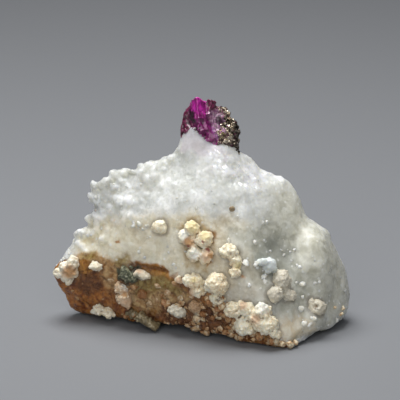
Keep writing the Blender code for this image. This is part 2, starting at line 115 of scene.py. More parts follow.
# The colours on the front, later ones over earlier ones: how soft each one's edge is, its darker and its
# lighter tone, and the outlines of its patches as corners seen from there.
SKIN_ZONES = {
    "cream": (2.2, (0.80, 0.73, 0.55), (0.93, 0.88, 0.73), [
        [(-18.6, -3.5), (-9, -2.4), (1, -2.4), (5, -8), (8.6, -16), (4, -17.4), (-2, -14), (-10, -11.6),
         (-21, -9.4)],
    ]),
    "veil": (2.0, (0.50, 0.51, 0.48), (0.66, 0.67, 0.64), [
        [(-20, 8), (-9, 9.4), (-2, 9.4), (-2, 6.6), (-6, 5), (-9, 4.2), (-14, 2.2), (-20, 1)],
    ]),
    "sand": (2.4, (0.64, 0.56, 0.40), (0.82, 0.76, 0.61), [
        [(-2, -3.6), (4, -2.8), (8, -4), (9, -8), (9, -16), (4, -17), (-1, -12)],
    ]),
    "straw": (1.0, (0.58, 0.42, 0.21), (0.80, 0.70, 0.50), [
        [(-3.4, -4.2), (-0.6, -3.2), (2, -5), (2.6, -9), (1, -11.6), (-2.4, -11.2), (-3, -8.6)],
    ]),
    "haze": (3.2, (0.56, 0.55, 0.46), (0.77, 0.765, 0.68), [
        [(4.6, -5), (9.6, -4), (12.6, 1), (16, 2), (21, -6), (25.5, -12), (25.5, -20), (14, -25.5),
         (8, -17), (5.6, -10)],
    ]),
    "smoke": (2.2, (0.51, 0.505, 0.42), (0.72, 0.715, 0.63), [
        [(6.6, -6), (12, -5), (15.6, -6), (16.4, -12), (20.6, -13.6), (21.4, -17), (19, -18.6),
         (15, -18.6), (11, -16), (7, -13)],
    ]),
    # Darker grey by the hollow: partly the marble's own tone, partly painted shade of the hollow.
    "hollow_grey_and_shade": (2.0, (0.42, 0.385, 0.29), (0.60, 0.565, 0.45), [
        [(5.4, -8), (8.6, -7.6), (10.6, -11), (10.4, -14), (6.4, -14), (5.4, -12)],
    ]),
    "milk": (1.2, (0.62, 0.58, 0.48), (0.76, 0.73, 0.63), [
        [(5, -14.8), (8, -14), (11.6, -15.6), (11, -17), (8, -16.8), (5.4, -16.6)],
    ]),
    # Painted highlights: white streaks that stand for glints along the ridge.
    "painted_glint_streaks": (0.5, (0.94, 0.94, 0.93), (0.98, 0.98, 0.97), [
        [(1.8, 7.5), (3.4, 6.9), (4.4, 5.9), (5.6, 4.9), (5.4, 4.1), (4.1, 4.6), (3.2, 6.0), (2.0, 6.9)],
        [(6.8, 5.2), (7.6, 4.9), (8.6, 3.9), (9.4, 2.9), (10.5, 2.0), (9.2, 2.2), (8.0, 2.9),
         (7.3, 3.9)],
        [(8.8, 5.5), (9.4, 5.3), (10.2, 4.3), (11.1, 3.6), (10.9, 3.2), (9.9, 3.9), (9.2, 4.6)],
        [(-0.4, 4.7), (1.2, 4.8), (2.6, 5.4), (2.8, 5.1), (1.3, 4.4), (-0.3, 4.4)],
    ]),
    "shade": (2.0, (0.40, 0.405, 0.345), (0.53, 0.535, 0.47), [
        [(9.6, -7.4), (13.4, -6.4), (15, -9.2), (15.9, -12.4), (12, -12.6), (9.4, -10)],
    ]),
    "blush": (0.7, (0.66, 0.62, 0.63), (0.78, 0.74, 0.75), [
        [(-3.4, 10.4), (-1, 12.6), (1, 10.4), (2.7, 9.4), (5.3, 8.4), (4.6, 7.1), (0.8, 7.2),
         (-3.6, 8.2)],
    ]),
    "peach": (1.4, (0.74, 0.62, 0.44), (0.86, 0.79, 0.64), [
        [(13.2, -18.8), (17.6, -19.4), (19.4, -21.6), (16.2, -23.4), (13, -24.4), (11, -23.4),
         (12.8, -21.6)],
    ]),
    "rust": (0.6, (0.18, 0.048, 0.009), (0.55, 0.23, 0.055), [
        [(-25.5, -10.4), (-22.3, -9.8), (-20.2, -8.4), (-15, -9.7), (-10, -11.1), (-4.2, -12.3),
         (-0.8, -13.7), (1.2, -16.4), (4.6, -17.8), (9, -21.2), (14.5, -24), (14.5, -25.5), (-4, -25),
         (-25.5, -20)],
    ]),
    "apricot": (1.1, (0.56, 0.33, 0.13), (0.78, 0.58, 0.34), [
        [(-20.8, -8.4), (-17.4, -8.6), (-12, -10.2), (-12.4, -11.2), (-17, -10.2), (-20.4, -10)],
    ]),
    "tan": (1.2, (0.38, 0.19, 0.06), (0.72, 0.50, 0.25), [
        [(-11.4, -13), (-3.6, -13.6), (-1, -16.6), (-4, -19), (-11.6, -18.6)],
        [(-15.6, -10.4), (-13.4, -10.6), (-14, -16), (-16, -13)],
        [(2.4, -18.4), (6, -19.4), (6, -22), (3, -21)],
    ]),
    "umber": (0.8, (0.10, 0.034, 0.010), (0.26, 0.105, 0.032), [
        [(-3, -16.6), (4, -17.2), (8.6, -20), (8.3, -23.4), (0, -22.4), (-12, -20.6), (-8, -18.4)],
        [(-21.5, -12.6), (-18, -11.6), (-15.8, -13.6), (-18.4, -16.0)],
    ]),
    "amber": (0.45, (0.32, 0.13, 0.022), (0.56, 0.27, 0.06), [
        [(-20.8, -9.8), (-17.4, -10.4), (-15.8, -12), (-20.8, -12.4)],
        [(-11.2, -11.0), (-7, -11.2), (-4.2, -12.6), (-2.4, -13.4), (-5.5, -13.2), (-8.5, -12.3),
         (-11, -11.8)],
        [(-14.5, -6.6), (-13.7, -6.7), (-13.8, -7.2), (-14.4, -7.1)],
        [(6.6, -12.7), (7.2, -12.9), (7.5, -13.8), (6.9, -13.4)],
        [(10.6, -22.8), (13.4, -22.8), (13.4, -24.2), (10.6, -24.2)],
        [(1.4, -4.9), (2.3, -5.0), (2.0, -7.4), (1.7, -10.2), (0.6, -10.9), (1.4, -9), (1.7, -6.6)],
    ]),
    "olive": (0.9, (0.25, 0.145, 0.03), (0.50, 0.375, 0.14), [
        [(-11.0, -12.6), (-4, -13), (-3.0, -15.2), (-10.6, -15.8)],
        [(-19.8, -8.4), (-17.8, -8.4), (-17.6, -9.8), (-19.8, -9.8)],
        [(-13.8, -9.4), (-11.8, -9.4), (-11.8, -10.5), (-13.8, -10.5)],
    ]),
    # Dark green round the green crystals, with painted shadow below the dish grain.
    "dark_green_and_shadow": (0.4, (0.03, 0.035, 0.02), (0.10, 0.11, 0.06), [
        [(-13.6, -11.0), (-10.8, -11.2), (-9.0, -13.2), (-10.6, -14.2), (-13.4, -13.4)],
    ]),
}
MARBLE_WHITE = (0.80, 0.805, 0.775)
MARBLE_GREY = (0.71, 0.72, 0.68)
SPECK_WHITE = (0.93, 0.93, 0.9)
# Colour of the painted glints on the glassy ridge.
PAINTED_GLINT_WHITE = (0.97, 0.97, 0.95)
# Brown of the marble where crystals meet it: partly stain, partly painted contact shade.
CONTACT_STAIN_AND_SHADE_BROWN = (0.22, 0.15, 0.09)
# The widths of the marble's grey clouds, of its stains, specks, grains and crystals, how high the grains
# stand, and how far light spreads in it.
CLOUDS, STAINS, SPECKS, GRAINS, CRYSTALS = 4.5, 1.5, 1.5, 0.45, 0.4
GRAIN_HEIGHT = 0.12
LIGHT_REACH = 4.2
GLASSY_RIDGE = [(1.3, 8), (3.7, 8.3), (8.3, 5.8), (11, 1.7), (9.7, 0.7), (6, 2.7), (2, 5.3)]
LUMPY_SLOPE = [(-20, 8), (-3, 8.5), (-6, 2), (-12, -3), (-20, -9), (-25, -6)]
LUMPY_EDGE = 1.6  # how soft the lumpy slope's edge is
SKIN_TEAR = 1.2  # how far the edges of the zones are torn
NOISE_SEED = 1  # keeps the facets the same in every run, because the vector noise starts from the clock
# The painted contact shade and stain next to the crystals' solids fade out over this reach.
CONTACT_STAIN_AND_SHADE_REACH = (0.3, 0.7)  # how near to a crystal's solid the marble is darkest, and where that ends


def seen(points):
    """Where points in millimetres are seen from the front: their right and up."""
    away = points - VIEW_MIDDLE
    nearer = VIEW_DISTANCE / (VIEW_DISTANCE + away @ VIEW_AHEAD)
    return np.stack((away @ VIEW_RIGHT, away @ VIEW_UP), axis=-1) * nearer[:, None]


def smooth_step(values, low, high):
    share = np.clip((values - low) / (high - low), 0, 1)
    return share * share * (3 - 2 * share)


def inside(places, corners):
    """How deep each place lies inside the outline, less than nothing where it lies outside."""
    start = np.array(corners, float)
    along = np.roll(start, -1, axis=0) - start
    away = places[:, None] - start
    share = np.clip((away * along).sum(2) / (along * along).sum(1), 0, 1)
    depth = np.linalg.norm(away - share[..., None] * along, axis=2).min(1)
    over = (start[:, 1] > places[:, None, 1]) != (start[:, 1] + along[:, 1] > places[:, None, 1])
    slope = along[:, 0] / np.where(along[:, 1] == 0, 1, along[:, 1])
    crossed = over & (places[:, None, 0] < start[:, 0] + (places[:, None, 1] - start[:, 1]) * slope)
    return np.where(crossed.sum(1) % 2 == 1, depth, -depth)


def get_points(mesh, value="co"):
    """A mesh's vertices as an array in millimetres, or their normals."""
    flat = np.empty(len(mesh.vertices) * 3, np.float32)
    mesh.vertices.foreach_get(value, flat)
    return flat.reshape(-1, 3).astype(float) / (MM if value == "co" else 1)


def set_points(mesh, points):
    mesh.vertices.foreach_set("co", (points * MM).astype(np.float32).ravel())
    mesh.update()


def set_attributes(mesh, **values):
    """Keeps a value for each vertex under each name, for materials and trees to read."""
    for name, each in values.items():
        layer = mesh.attributes.new(name, "FLOAT", "POINT")
        layer.data.foreach_set("value", each.astype(np.float32))


def broken(points, width, tilt, seed, fall=0, stretch=1):
    """Heights of a surface broken into flat facets, each tilted its own way.

    They are this wide, and longer by the stretch along a line that falls to the right by this angle.
    """
    angle = math.radians(fall)
    along = VIEW_RIGHT * math.cos(angle) - VIEW_UP * math.sin(angle)
    squeezed = points - np.outer(points @ along, along) * (1 - 1 / stretch)
    heights = []
    for point in squeezed / width + seed:
        (near, far, *_), (centre, beside, *_) = noise.voronoi(point)
        leans = [noise.noise_vector(spot * 3.7).dot(Vector(point) - spot) for spot in (centre, beside)]
        share = 0.5 + 0.5 * min(1, (far - near) / 0.25)
        heights.append(leans[0] * share + leans[1] * (1 - share))
    return np.array(heights) * tilt * width


def grainy(points, width, seed):
    """Rounded grains of this width: 1 in the middle of a grain and 0 between grains."""
    return np.array([1 - min(1, noise.voronoi(point)[0][0]) ** 2 for point in points / width + seed])


def hollows(mesh, points, spread=3):
    """How deep in a pit or a crack each vertex is, against the mean of those a few steps round."""
    ends = np.empty(len(mesh.edges) * 2, np.int32)
    mesh.edges.foreach_get("vertices", ends)
    here, there = ends.reshape(-1, 2).T
    number = np.bincount(ends, minlength=len(points))
    mean = points
    for _ in range(spread):
        total = np.stack([
            np.bincount(here, mean[there, axis], len(points))
            + np.bincount(there, mean[here, axis], len(points))
            for axis in range(3)
        ], axis=1)
        mean = total / number[:, None]
    return ((mean - points) * get_points(mesh, "normal")).sum(1)


def wavy(points, width, seed):
    return np.array([noise.noise(point) for point in points / width + seed])


def new_object(name, data):
    made = bpy.data.objects.new(name, data)
    bpy.context.scene.collection.objects.link(made)
    return made


def fresh_copy(name, node):
    """A new object with a copy of a solid's mesh, its loose triangles merged."""
    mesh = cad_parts[node].data.copy()
    mesh.materials.clear()
    shape = bmesh.new()
    shape.from_mesh(mesh)
    bmesh.ops.remove_doubles(shape, verts=shape.verts, dist=1e-6)
    shape.to_mesh(mesh)
    shape.free()
    return new_object(name, mesh)


def bake_modifiers(thing):
    """Makes the modified shape the object's own mesh."""
    graph = bpy.context.evaluated_depsgraph_get()
    mesh = bpy.data.meshes.new_from_object(thing.evaluated_get(graph))
    thing.modifiers.clear()
    thing.data = mesh


def remeshed(thing, voxel, wear):
    """Gives the object one even skin, worn smooth."""
    skin = thing.modifiers.new("skin", "REMESH")
    skin.mode = "VOXEL"
    skin.voxel_size = voxel * MM
    if wear:
        worn = thing.modifiers.new("wear", "SMOOTH")
        worn.iterations = wear
    bake_modifiers(thing)


def new_tree(name):
    """A material with only a Principled shader and an output, and its node tree."""
    material = bpy.data.materials.new(name)
    material.use_nodes = True
    return material, material.node_tree


def fill(tree, node, inputs):
    """Links or sets a node's inputs, given as socket and value. A colour gets its fourth part here."""
    for socket, value in dict(inputs).items():
        entry = node.inputs[socket]
        if isinstance(value, bpy.types.NodeSocket):
            tree.links.new(value, entry)
        else:
            entry.default_value = (*value, 1) if entry.type == "RGBA" else value


def add_node(tree, kind, inputs=(), **settings):
    """Adds a node, sets its properties and fills its inputs."""
    made = tree.nodes.new(kind)
    for key, value in settings.items():
        setattr(made, key, value)
    fill(tree, made, inputs)
    return made


def place_in(tree):
    return add_node(tree, "ShaderNodeTexCoord").outputs["Object"]


def kept_value(tree, name):
    """The value that the mesh keeps under this name."""
    return add_node(tree, "ShaderNodeAttribute", attribute_name=name).outputs["Fac"]


def mixed(tree, share, one, other):
    """The colour between two others, at this share."""
    sockets = {"Factor": share, 6: one, 7: other}
    return add_node(tree, "ShaderNodeMix", sockets, data_type="RGBA").outputs[2]


def noise_at(tree, place, width, detail=3.0, warp=0.0):
    """Noise whose waves have this width in millimetres, from 0 to 1."""
    sockets = {"Vector": place, "Scale": 1 / (width * MM), "Detail": detail, "Distortion": warp}
    sockets["Roughness"] = 0.55
    return add_node(tree, "ShaderNodeTexNoise", sockets).outputs["Fac"]


def ranged(tree, value, low, high, to_low=0.0, to_high=1.0):
    sockets = {"Value": value, "From Min": low, "From Max": high, "To Min": to_low, "To Max": to_high}
    return add_node(tree, "ShaderNodeMapRange", sockets, interpolation_type="SMOOTHSTEP").outputs["Result"]


def maths(tree, operation, one, other):
    return add_node(tree, "ShaderNodeMath", {0: one, 1: other}, operation=operation).outputs[0]


def times(tree, one, other):
    return maths(tree, "MULTIPLY", one, other)


def vector_maths(tree, operation, inputs):
    return add_node(tree, "ShaderNodeVectorMath", inputs, operation=operation).outputs[0]


def new_group(name, **sizes):
    """An empty geometry node tree with a geometry input, an input for each size, and an output."""
    tree = bpy.data.node_groups.new(name, "GeometryNodeTree")
    tree.interface.new_socket("Geometry", in_out="INPUT", socket_type="NodeSocketGeometry")
    tree.interface.new_socket("Geometry", in_out="OUTPUT", socket_type="NodeSocketGeometry")
    for label, value in sizes.items():
        kind = "NodeSocketInt" if isinstance(value, int) else "NodeSocketFloat"
        tree.interface.new_socket(label, in_out="INPUT", socket_type=kind).default_value = value
    return tree, tree.nodes.new("NodeGroupInput").outputs, tree.nodes.new("NodeGroupOutput")


def add_group(thing, tree, **sizes):
    """Puts a geometry node tree on the object, with its inputs set by their sockets' identifiers."""
    modifier = thing.modifiers.new(tree.name, "NODES")
    modifier.node_group = tree
    sockets = {item.name: item.identifier for item in tree.interface.items_tree if item.in_out == "INPUT"}
    for label, value in sizes.items():
        modifier[sockets[label]] = value


def lumpy_ball(tree, detail, rough):
    """A ball of one metre's radius, pushed out of round by noise."""
    ball = add_node(tree, "GeometryNodeMeshIcoSphere", {"Radius": 1.0, "Subdivisions": detail})
    waves = add_node(tree, "ShaderNodeTexNoise", {"Scale": 1.1, "Detail": 1.0}).outputs["Color"]
    push = vector_maths(tree, "SUBTRACT", {0: waves, 1: (0.5, 0.5, 0.5)})
    offset = vector_maths(tree, "SCALE", {0: push, "Scale": rough})
    sockets = {"Geometry": ball.outputs["Mesh"], "Offset": offset}
    return add_node(tree, "GeometryNodeSetPosition", sockets).outputs["Geometry"]


def random_share(tree, seed):
    return add_node(tree, "FunctionNodeRandomValue", {"Seed": seed}, data_type="FLOAT").outputs[1]


def random_vector(tree, low, high, seed):
    sockets = {0: (low,) * 3, 1: (high,) * 3, "Seed": seed}
    return add_node(tree, "FunctionNodeRandomValue", sockets, data_type="FLOAT_VECTOR").outputs[0]


def named_value(tree, name):
    return add_node(tree, "GeometryNodeInputNamedAttribute", {"Name": name}, data_type="FLOAT").outputs[0]


def set_out(tree, points, shape, radius, seed, material, skin=None):
    """Sets the shape on every point, turned, stretched and tinted at random, and joins the skin to it."""
    turn = random_vector(tree, 0, math.tau, seed)
    scale = vector_maths(tree, "SCALE", {0: random_vector(tree, *BALL_STRETCH, seed), "Scale": radius})
    sockets = {"Points": points, "Instance": shape, "Rotation": turn, "Scale": scale}
    shapes = add_node(tree, "GeometryNodeInstanceOnPoints", sockets).outputs["Instances"]
    sockets = {"Geometry": shapes, "Name": "tint", "Value": random_share(tree, seed)}
    tinted = add_node(tree, "GeometryNodeStoreNamedAttribute", sockets, data_type="FLOAT", domain="INSTANCE")
    join = add_node(tree, "GeometryNodeJoinGeometry", {0: tinted.outputs["Geometry"]})
    if skin:
        tree.links.new(skin, join.inputs[0])
    real = add_node(tree, "GeometryNodeRealizeInstances", {"Geometry": join.outputs[0]}).outputs["Geometry"]
    sockets = {"Geometry": real, "Material": material}
    return add_node(tree, "GeometryNodeSetMaterial", sockets).outputs["Geometry"]


def strewing(name, material, share=None, detail=2, rough=0.6, keep_skin=True, cubes=False):
    """A node tree that strews balls or cubes over a skin, more thickly where the named attribute is higher.

    Small ones are commoner than wide ones. The sizes are in millimetres, and Sunk is a share of the width.
    """
    tree, entry, result = new_group(name, Density=1.0, Apart=0.1, Narrow=0.1, Wide=0.2, Sunk=0.0, Seed=1)
    metres = {label: times(tree, entry[label], MM) for label in ("Apart", "Narrow", "Wide")}
    thickly = maths(tree, "DIVIDE", entry["Density"], MM**2)
    sockets = {"Mesh": entry["Geometry"], "Distance Min": metres["Apart"], "Density Max": thickly}
    sockets["Density Factor"] = named_value(tree, share) if share else 1.0
    sockets["Seed"] = entry["Seed"]
    points = add_node(tree, "GeometryNodeDistributePointsOnFaces", sockets, distribute_method="POISSON")
    chance = random_share(tree, entry["Seed"])
    spread = maths(tree, "SUBTRACT", metres["Wide"], metres["Narrow"])
    width = maths(tree, "ADD", metres["Narrow"], times(tree, spread, maths(tree, "POWER", chance, 2.0)))
    down = times(tree, times(tree, width, entry["Sunk"]), -1.0)
    drop = vector_maths(tree, "SCALE", {0: points.outputs["Normal"], "Scale": down})
    sunk = add_node(tree, "GeometryNodeSetPosition", {"Geometry": points.outputs["Points"], "Offset": drop})
    if cubes:
        shape = add_node(tree, "GeometryNodeMeshCube", {"Size": (1.6, 1.6, 1.6)}).outputs["Mesh"]
    else:
        shape = lumpy_ball(tree, detail, rough)
    skin = entry["Geometry"] if keep_skin else None
    radius = times(tree, width, 0.5)
    made = set_out(tree, sunk.outputs["Geometry"], shape, radius, entry["Seed"], material, skin)
    tree.links.new(made, result.inputs["Geometry"])
    return tree


def surface_of(*meshes):
    """A tree in which the nearest point of the meshes, or the first one on a line, is found."""
    shape = bmesh.new()
    for mesh in meshes:
        shape.from_mesh(mesh)
    surface = BVHTree.FromBMesh(shape)
    shape.free()
    return surface


def on_surface(surface, right, up, lift):
    """The point of the surface seen at this place, or the nearest to its sight line, lifted by this much."""
    ahead = Vector(VIEW_MIDDLE + VIEW_RIGHT * right + VIEW_UP * up - EYE).normalized()
    spot, normal, _, _ = surface.ray_cast(Vector(EYE) * MM, ahead)
    if spot is None:
        steps = [Vector(EYE) + ahead * (VIEW_DISTANCE + away) for away in range(-15, 16)]
        nearest = (surface.find_nearest(step * MM) for step in steps)
        spot, normal, _, _ = min(nearest, key=lambda found: found[3])
    return np.array(spot) / MM + np.array(normal) * lift


def beads_on(name, surface, beads, material, lift=0.0, detail=3, rough=0.6, seed=1):
    """Lumpy balls at places seen on the surface, each given as right, up, width and sometimes a tint.

    They are lifted by a share of their width.
    """
    mesh = bpy.data.meshes.new(name)
    mesh.vertices.add(len(beads))
    spots = [on_surface(surface, right, up, lift * width) for right, up, width, *_ in beads]
    set_points(mesh, np.array(spots))
    set_attributes(mesh, width=np.array([bead[2] for bead in beads]) * MM)
    made = new_object(name, mesh)
    tree, entry, result = new_group(name, Seed=1)
    radius = times(tree, named_value(tree, "width"), 0.5)
    ball = lumpy_ball(tree, detail, rough)
    balls = set_out(tree, entry["Geometry"], ball, radius, entry["Seed"], material)
    tree.links.new(balls, result.inputs["Geometry"])
    add_group(made, tree, Seed=seed)
    bake_modifiers(made)
    tints = [tint for *_, tint in beads if len(beads[0]) > 3]
    if tints:
        each = np.repeat(tints, len(made.data.vertices) // len(beads))
        made.data.attributes["tint"].data.foreach_set("value", each.astype(np.float32))
    return made


def join_into(thing, other):
    """Adds the other object's mesh to the thing's own, and removes the other."""
    shape = bmesh.new()
    shape.from_mesh(thing.data)
    shape.from_mesh(other.data)
    shape.to_mesh(thing.data)
    shape.free()
    bpy.data.objects.remove(other)


def torn_places(points, reach):
    """Where the points are seen, moved about by waves up to this far, which tears the edges of zones."""
    waves = [wavy(points, 2.5 * reach, seed) for seed in (5, 9)]
    ripples = [wavy(points, 0.7 * reach, seed) for seed in (15, 19)]
    return seen(points) + np.stack(waves, axis=1) * reach + np.stack(ripples, axis=1) * reach * 0.4


def zone_share(places, softness, outlines):
    depth = np.max([inside(places, corners) for corners in outlines], axis=0)
    return smooth_step(depth, -softness, softness)


def zone_shares(places, zones):
    """How far each place lies in each zone, whose row starts with its softness and ends with outlines."""
    return {name: zone_share(places, soft, outlines) for name, (soft, *_, outlines) in zones.items()}


def swells(places, rows):
    """Heights of rounded swellings, each given as right, up, half width, half height, turn and height."""
    height = np.zeros(len(places))
    for right, up, half_width, half_height, turn, most in rows:
        angle = math.radians(turn)
        turned_back = ((math.cos(angle), -math.sin(angle)), (math.sin(angle), math.cos(angle)))
        away = (places - (right, up)) @ np.array(turned_back) / (half_width, half_height)
        height += most * smooth_step(-np.linalg.norm(away, axis=1), -1.25, -0.35)
    return height


def finish_piece(piece, slot, *nodes, finish=None, smooth=True):
    """Gives the piece its finish and says which body and solids it stands for. Its slot is not used."""
    if finish:
        piece.data.materials.clear()
        piece.data.materials.append(finish)
    if smooth:
        piece.data.shade_smooth()
    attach(piece, "root")
    if nodes:
        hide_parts(*nodes)


noise.seed_set(NOISE_SEED)
marble, tree = new_tree("sugary marble")
where = place_in(tree)
clouds = noise_at(tree, where, CLOUDS)
stains = noise_at(tree, where, STAINS, detail=5, warp=0.7)
grains = noise_at(tree, where, GRAINS, detail=2)
colour = mixed(tree, ranged(tree, clouds, 0.4, 0.65), MARBLE_WHITE, MARBLE_GREY)
for name, (_, dark, light, _) in SKIN_ZONES.items():
    ragged = times(tree, kept_value(tree, name), ranged(tree, grains, 0.2, 0.8, 0.8, 1.2))
    patchy = mixed(tree, ranged(tree, stains, 0.32, 0.68), dark, light)
    colour = mixed(tree, ranged(tree, ragged, 0.0, 0.95), colour, patchy)
rust, pits, glassy, sugar = (kept_value(tree, name) for name in ("rust", "pits", "glassy", "sugar"))
specks = add_node(tree, "ShaderNodeTexVoronoi", {"Vector": where, "Scale": 1 / (SPECKS * MM)})
speck = ranged(tree, specks.outputs["Distance"], 0.10, 0.20, 0.6, 0.0)
colour = mixed(tree, times(tree, speck, maths(tree, "SUBTRACT", 1.0, rust)), colour, SPECK_WHITE)
# Darker brown where crystals meet the marble: some stain, and painted contact shade.
colour = mixed(tree, kept_value(tree, "crevice"), colour, CONTACT_STAIN_AND_SHADE_BROWN)
colour = mixed(tree, times(tree, times(tree, rust, pits), 0.6), colour, SKIN_ZONES["umber"][1])
# Painted glints: the glassy ridge is whitened in streaks.
painted_glints = times(tree, glassy, ranged(tree, stains, 0.42, 0.6, 0.15, 1.0))
colour = mixed(tree, painted_glints, colour, PAINTED_GLINT_WHITE)
crystals = add_node(tree, "ShaderNodeTexVoronoi", {"Vector": where, "Scale": 1 / (CRYSTALS * MM)})
facet = add_node(tree, "ShaderNodeSeparateColor", {"Color": crystals.outputs["Color"]}).outputs[0]
gloss = maths(tree, "SUBTRACT", ranged(tree, facet, 0.0, 1.0, 0.24, 0.5), times(tree, glassy, 0.16))
sockets = {"Strength": ranged(tree, sugar, 0, 1, 0.15, 0.6), "Distance": GRAIN_HEIGHT * MM, "Height": grains}
bump = add_node(tree, "ShaderNodeBump", sockets).outputs["Normal"]
tilt = vector_maths(tree, "SUBTRACT", {0: crystals.outputs["Color"], 1: (0.5, 0.5, 0.5)})
unevenness = maths(tree, "ADD", ranged(tree, sugar, 0, 1, 0.12, 0.4), times(tree, glassy, 0.5))
lean = vector_maths(tree, "SCALE", {0: tilt, "Scale": unevenness})
straight = vector_maths(tree, "NORMALIZE", {0: vector_maths(tree, "ADD", {0: bump, 1: lean})})
fill(tree, tree.nodes["Principled BSDF"], {
    "Base Color": colour, "Roughness": gloss, "Normal": straight,
    "Coat Weight": glassy, "Coat Roughness": 0.1, "Coat Normal": straight,
    "Subsurface Weight": 0.9, "Subsurface Radius": (1.0, 0.95, 0.82), "Subsurface Scale": LIGHT_REACH * MM,
})

marble_skin = fresh_copy("marble_skin", "marble_matrix")
remeshed(marble_skin, SKIN_VOXEL, SKIN_WEAR)
points = get_points(marble_skin.data)
for middle, edge, half, most in SKIN_LIFTS:
    across = smooth_step(half - abs(points[:, 0] - middle), 0, 0.6 * half)
    share = across * smooth_step(edge + 4 - points[:, 1], 0, 3)
    points[:, 2] += most * share * np.clip(1 - points[:, 2] / SKIN_LIFT_REACH, 0, 1)
set_points(marble_skin.data, points)
set_attributes(marble_skin.data, lumpy=zone_share(torn_places(points, 1.0), LUMPY_EDGE, [LUMPY_SLOPE]))
edge_lumps = beads_on("edge lumps", surface_of(marble_skin.data), EDGE_LUMPS, marble, rough=0.9)
add_group(marble_skin, strewing("lumps", marble, "lumpy", detail=3, rough=0.8), **LUMPS, Seed=4)
bake_modifiers(marble_skin)
join_into(marble_skin, edge_lumps)
remeshed(marble_skin, SKIN_VOXEL, 3)

points = get_points(marble_skin.data)
normals = get_points(marble_skin.data, "normal")
places = seen(points)
facing = smooth_step(-(normals @ VIEW_AHEAD), -0.15, 0.25)
height = facing * swells(places, SKIN_RELIEF) + swells(places, SKIN_NOTCHES)
torn = torn_places(points, SKIN_TEAR)
zones = {name: facing * share for name, share in zone_shares(torn, SKIN_ZONES).items()}
glassy = zone_share(places, 1.0, [GLASSY_RIDGE])
lumpy = zone_share(torn, LUMPY_EDGE, [LUMPY_SLOPE])
sugar = np.clip(1 - 0.8 * zones["haze"] - zones["blush"] - 0.7 * glassy, 0, 1)
rough = 1 + 1.6 * zones["rust"] - 0.6 * lumpy - 0.3 * zones["smoke"] - 0.8 * zones["blush"]
width, tilt, fall = SKIN_CLEAVAGE
height += broken(points, width, tilt, 31, fall, stretch=3) * rough
height += broken(points, *SKIN_BREAKS, 32) * rough
height += broken(points, *SKIN_GLINTS, 33, fall, stretch=2) * glassy
height += (SKIN_SUGAR[1] * sugar + 0.25 * zones["umber"]) * (grainy(points, SKIN_SUGAR[0], 7) - 0.5)
height *= smooth_step(points[:, 2], *FOOT_RELIEF) * (1 - swells(places, [SUMMIT]))
points += normals * height[:, None]
low, high = (np.array(corner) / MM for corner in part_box("marble_matrix"))
points = np.clip(points, low, high)
set_points(marble_skin.data, points)
pits = smooth_step(hollows(marble_skin.data, points), 0.0, 0.06)
bare = ("marble_matrix", "ruby_crystal", "pyrite_crust")
grown = surface_of(*(solid.data for node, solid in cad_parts.items() if node not in bare))
away = np.array([grown.find_nearest(point)[3] for point in points * MM]) / MM
# Painted contact shade, with some stain, on the marble next to the grown crystals and grains.
crevice = 0.4 * (1 - smooth_step(away, *CONTACT_STAIN_AND_SHADE_REACH))
set_attributes(marble_skin.data, **zones, glassy=glassy, sugar=sugar, pits=pits, crevice=crevice)
marble_surface = surface_of(marble_skin.data)
finish_piece(marble_skin, "marble", "marble_matrix", finish=marble)


# Crumbs, beads and gravel. Small white grains of the marble's own mineral stick to its left edge and to its
# front, and the stained band is full of tan, pink and cream grains. Geometry nodes grow them from points.
# Each bead is seen at right and up, and has a width. Each piece of gravel has a tint too, brown to white.
BEADS = [
    (4.8, -6.8, 0.9), (9.2, -7.0, 1.0), (10.7, -6.8, 0.6), (11.7, -8.5, 0.7), (14.0, -9.2, 0.7),
    (15.8, -8.3, 0.7), (16.2, -10.9, 0.8), (16.7, -11.2, 0.8), (19.2, -13.8, 0.8), (19.9, -13.6, 0.7),
    (15.2, -10.1, 0.6), (10.5, -3.8, 0.8), (11.1, -3.7, 0.8), (6.3, -2.7, 0.5), (7.7, -10.5, 1.2),
    (9.5, -11.3, 0.9), (8.2, -14.3, 0.7), (10.7, -12.8, 1.2), (10.9, -13.6, 1.1), (17.1, -14.0, 1.0),
    (16.1, -13.8, 0.7), (17.1, -16.2, 0.6), (19.0, -19.7, 1.1), (17.3, -20.6, 1.1), (18.2, -20.9, 0.8),
    (22.8, -20.0, 1.1), (-10.2, -8.6, 0.8), (-5.2, -8.8, 0.6), (-4.4, -10.8, 0.8), (-8.3, -6.2, 0.5),
    (-11.2, -4.3, 1.0), (-10.2, -4.0, 1.3), (-8.9, -4.4, 0.9), (-9.6, -4.9, 0.8), (9.2, -10.7, 1.0),
    (16.8, -18.0, 1.5), (17.2, -21.8, 0.5), (12.6, -16.9, 0.8), (2.4, -0.6, 0.6), (-0.6, -1.4, 0.5),
]
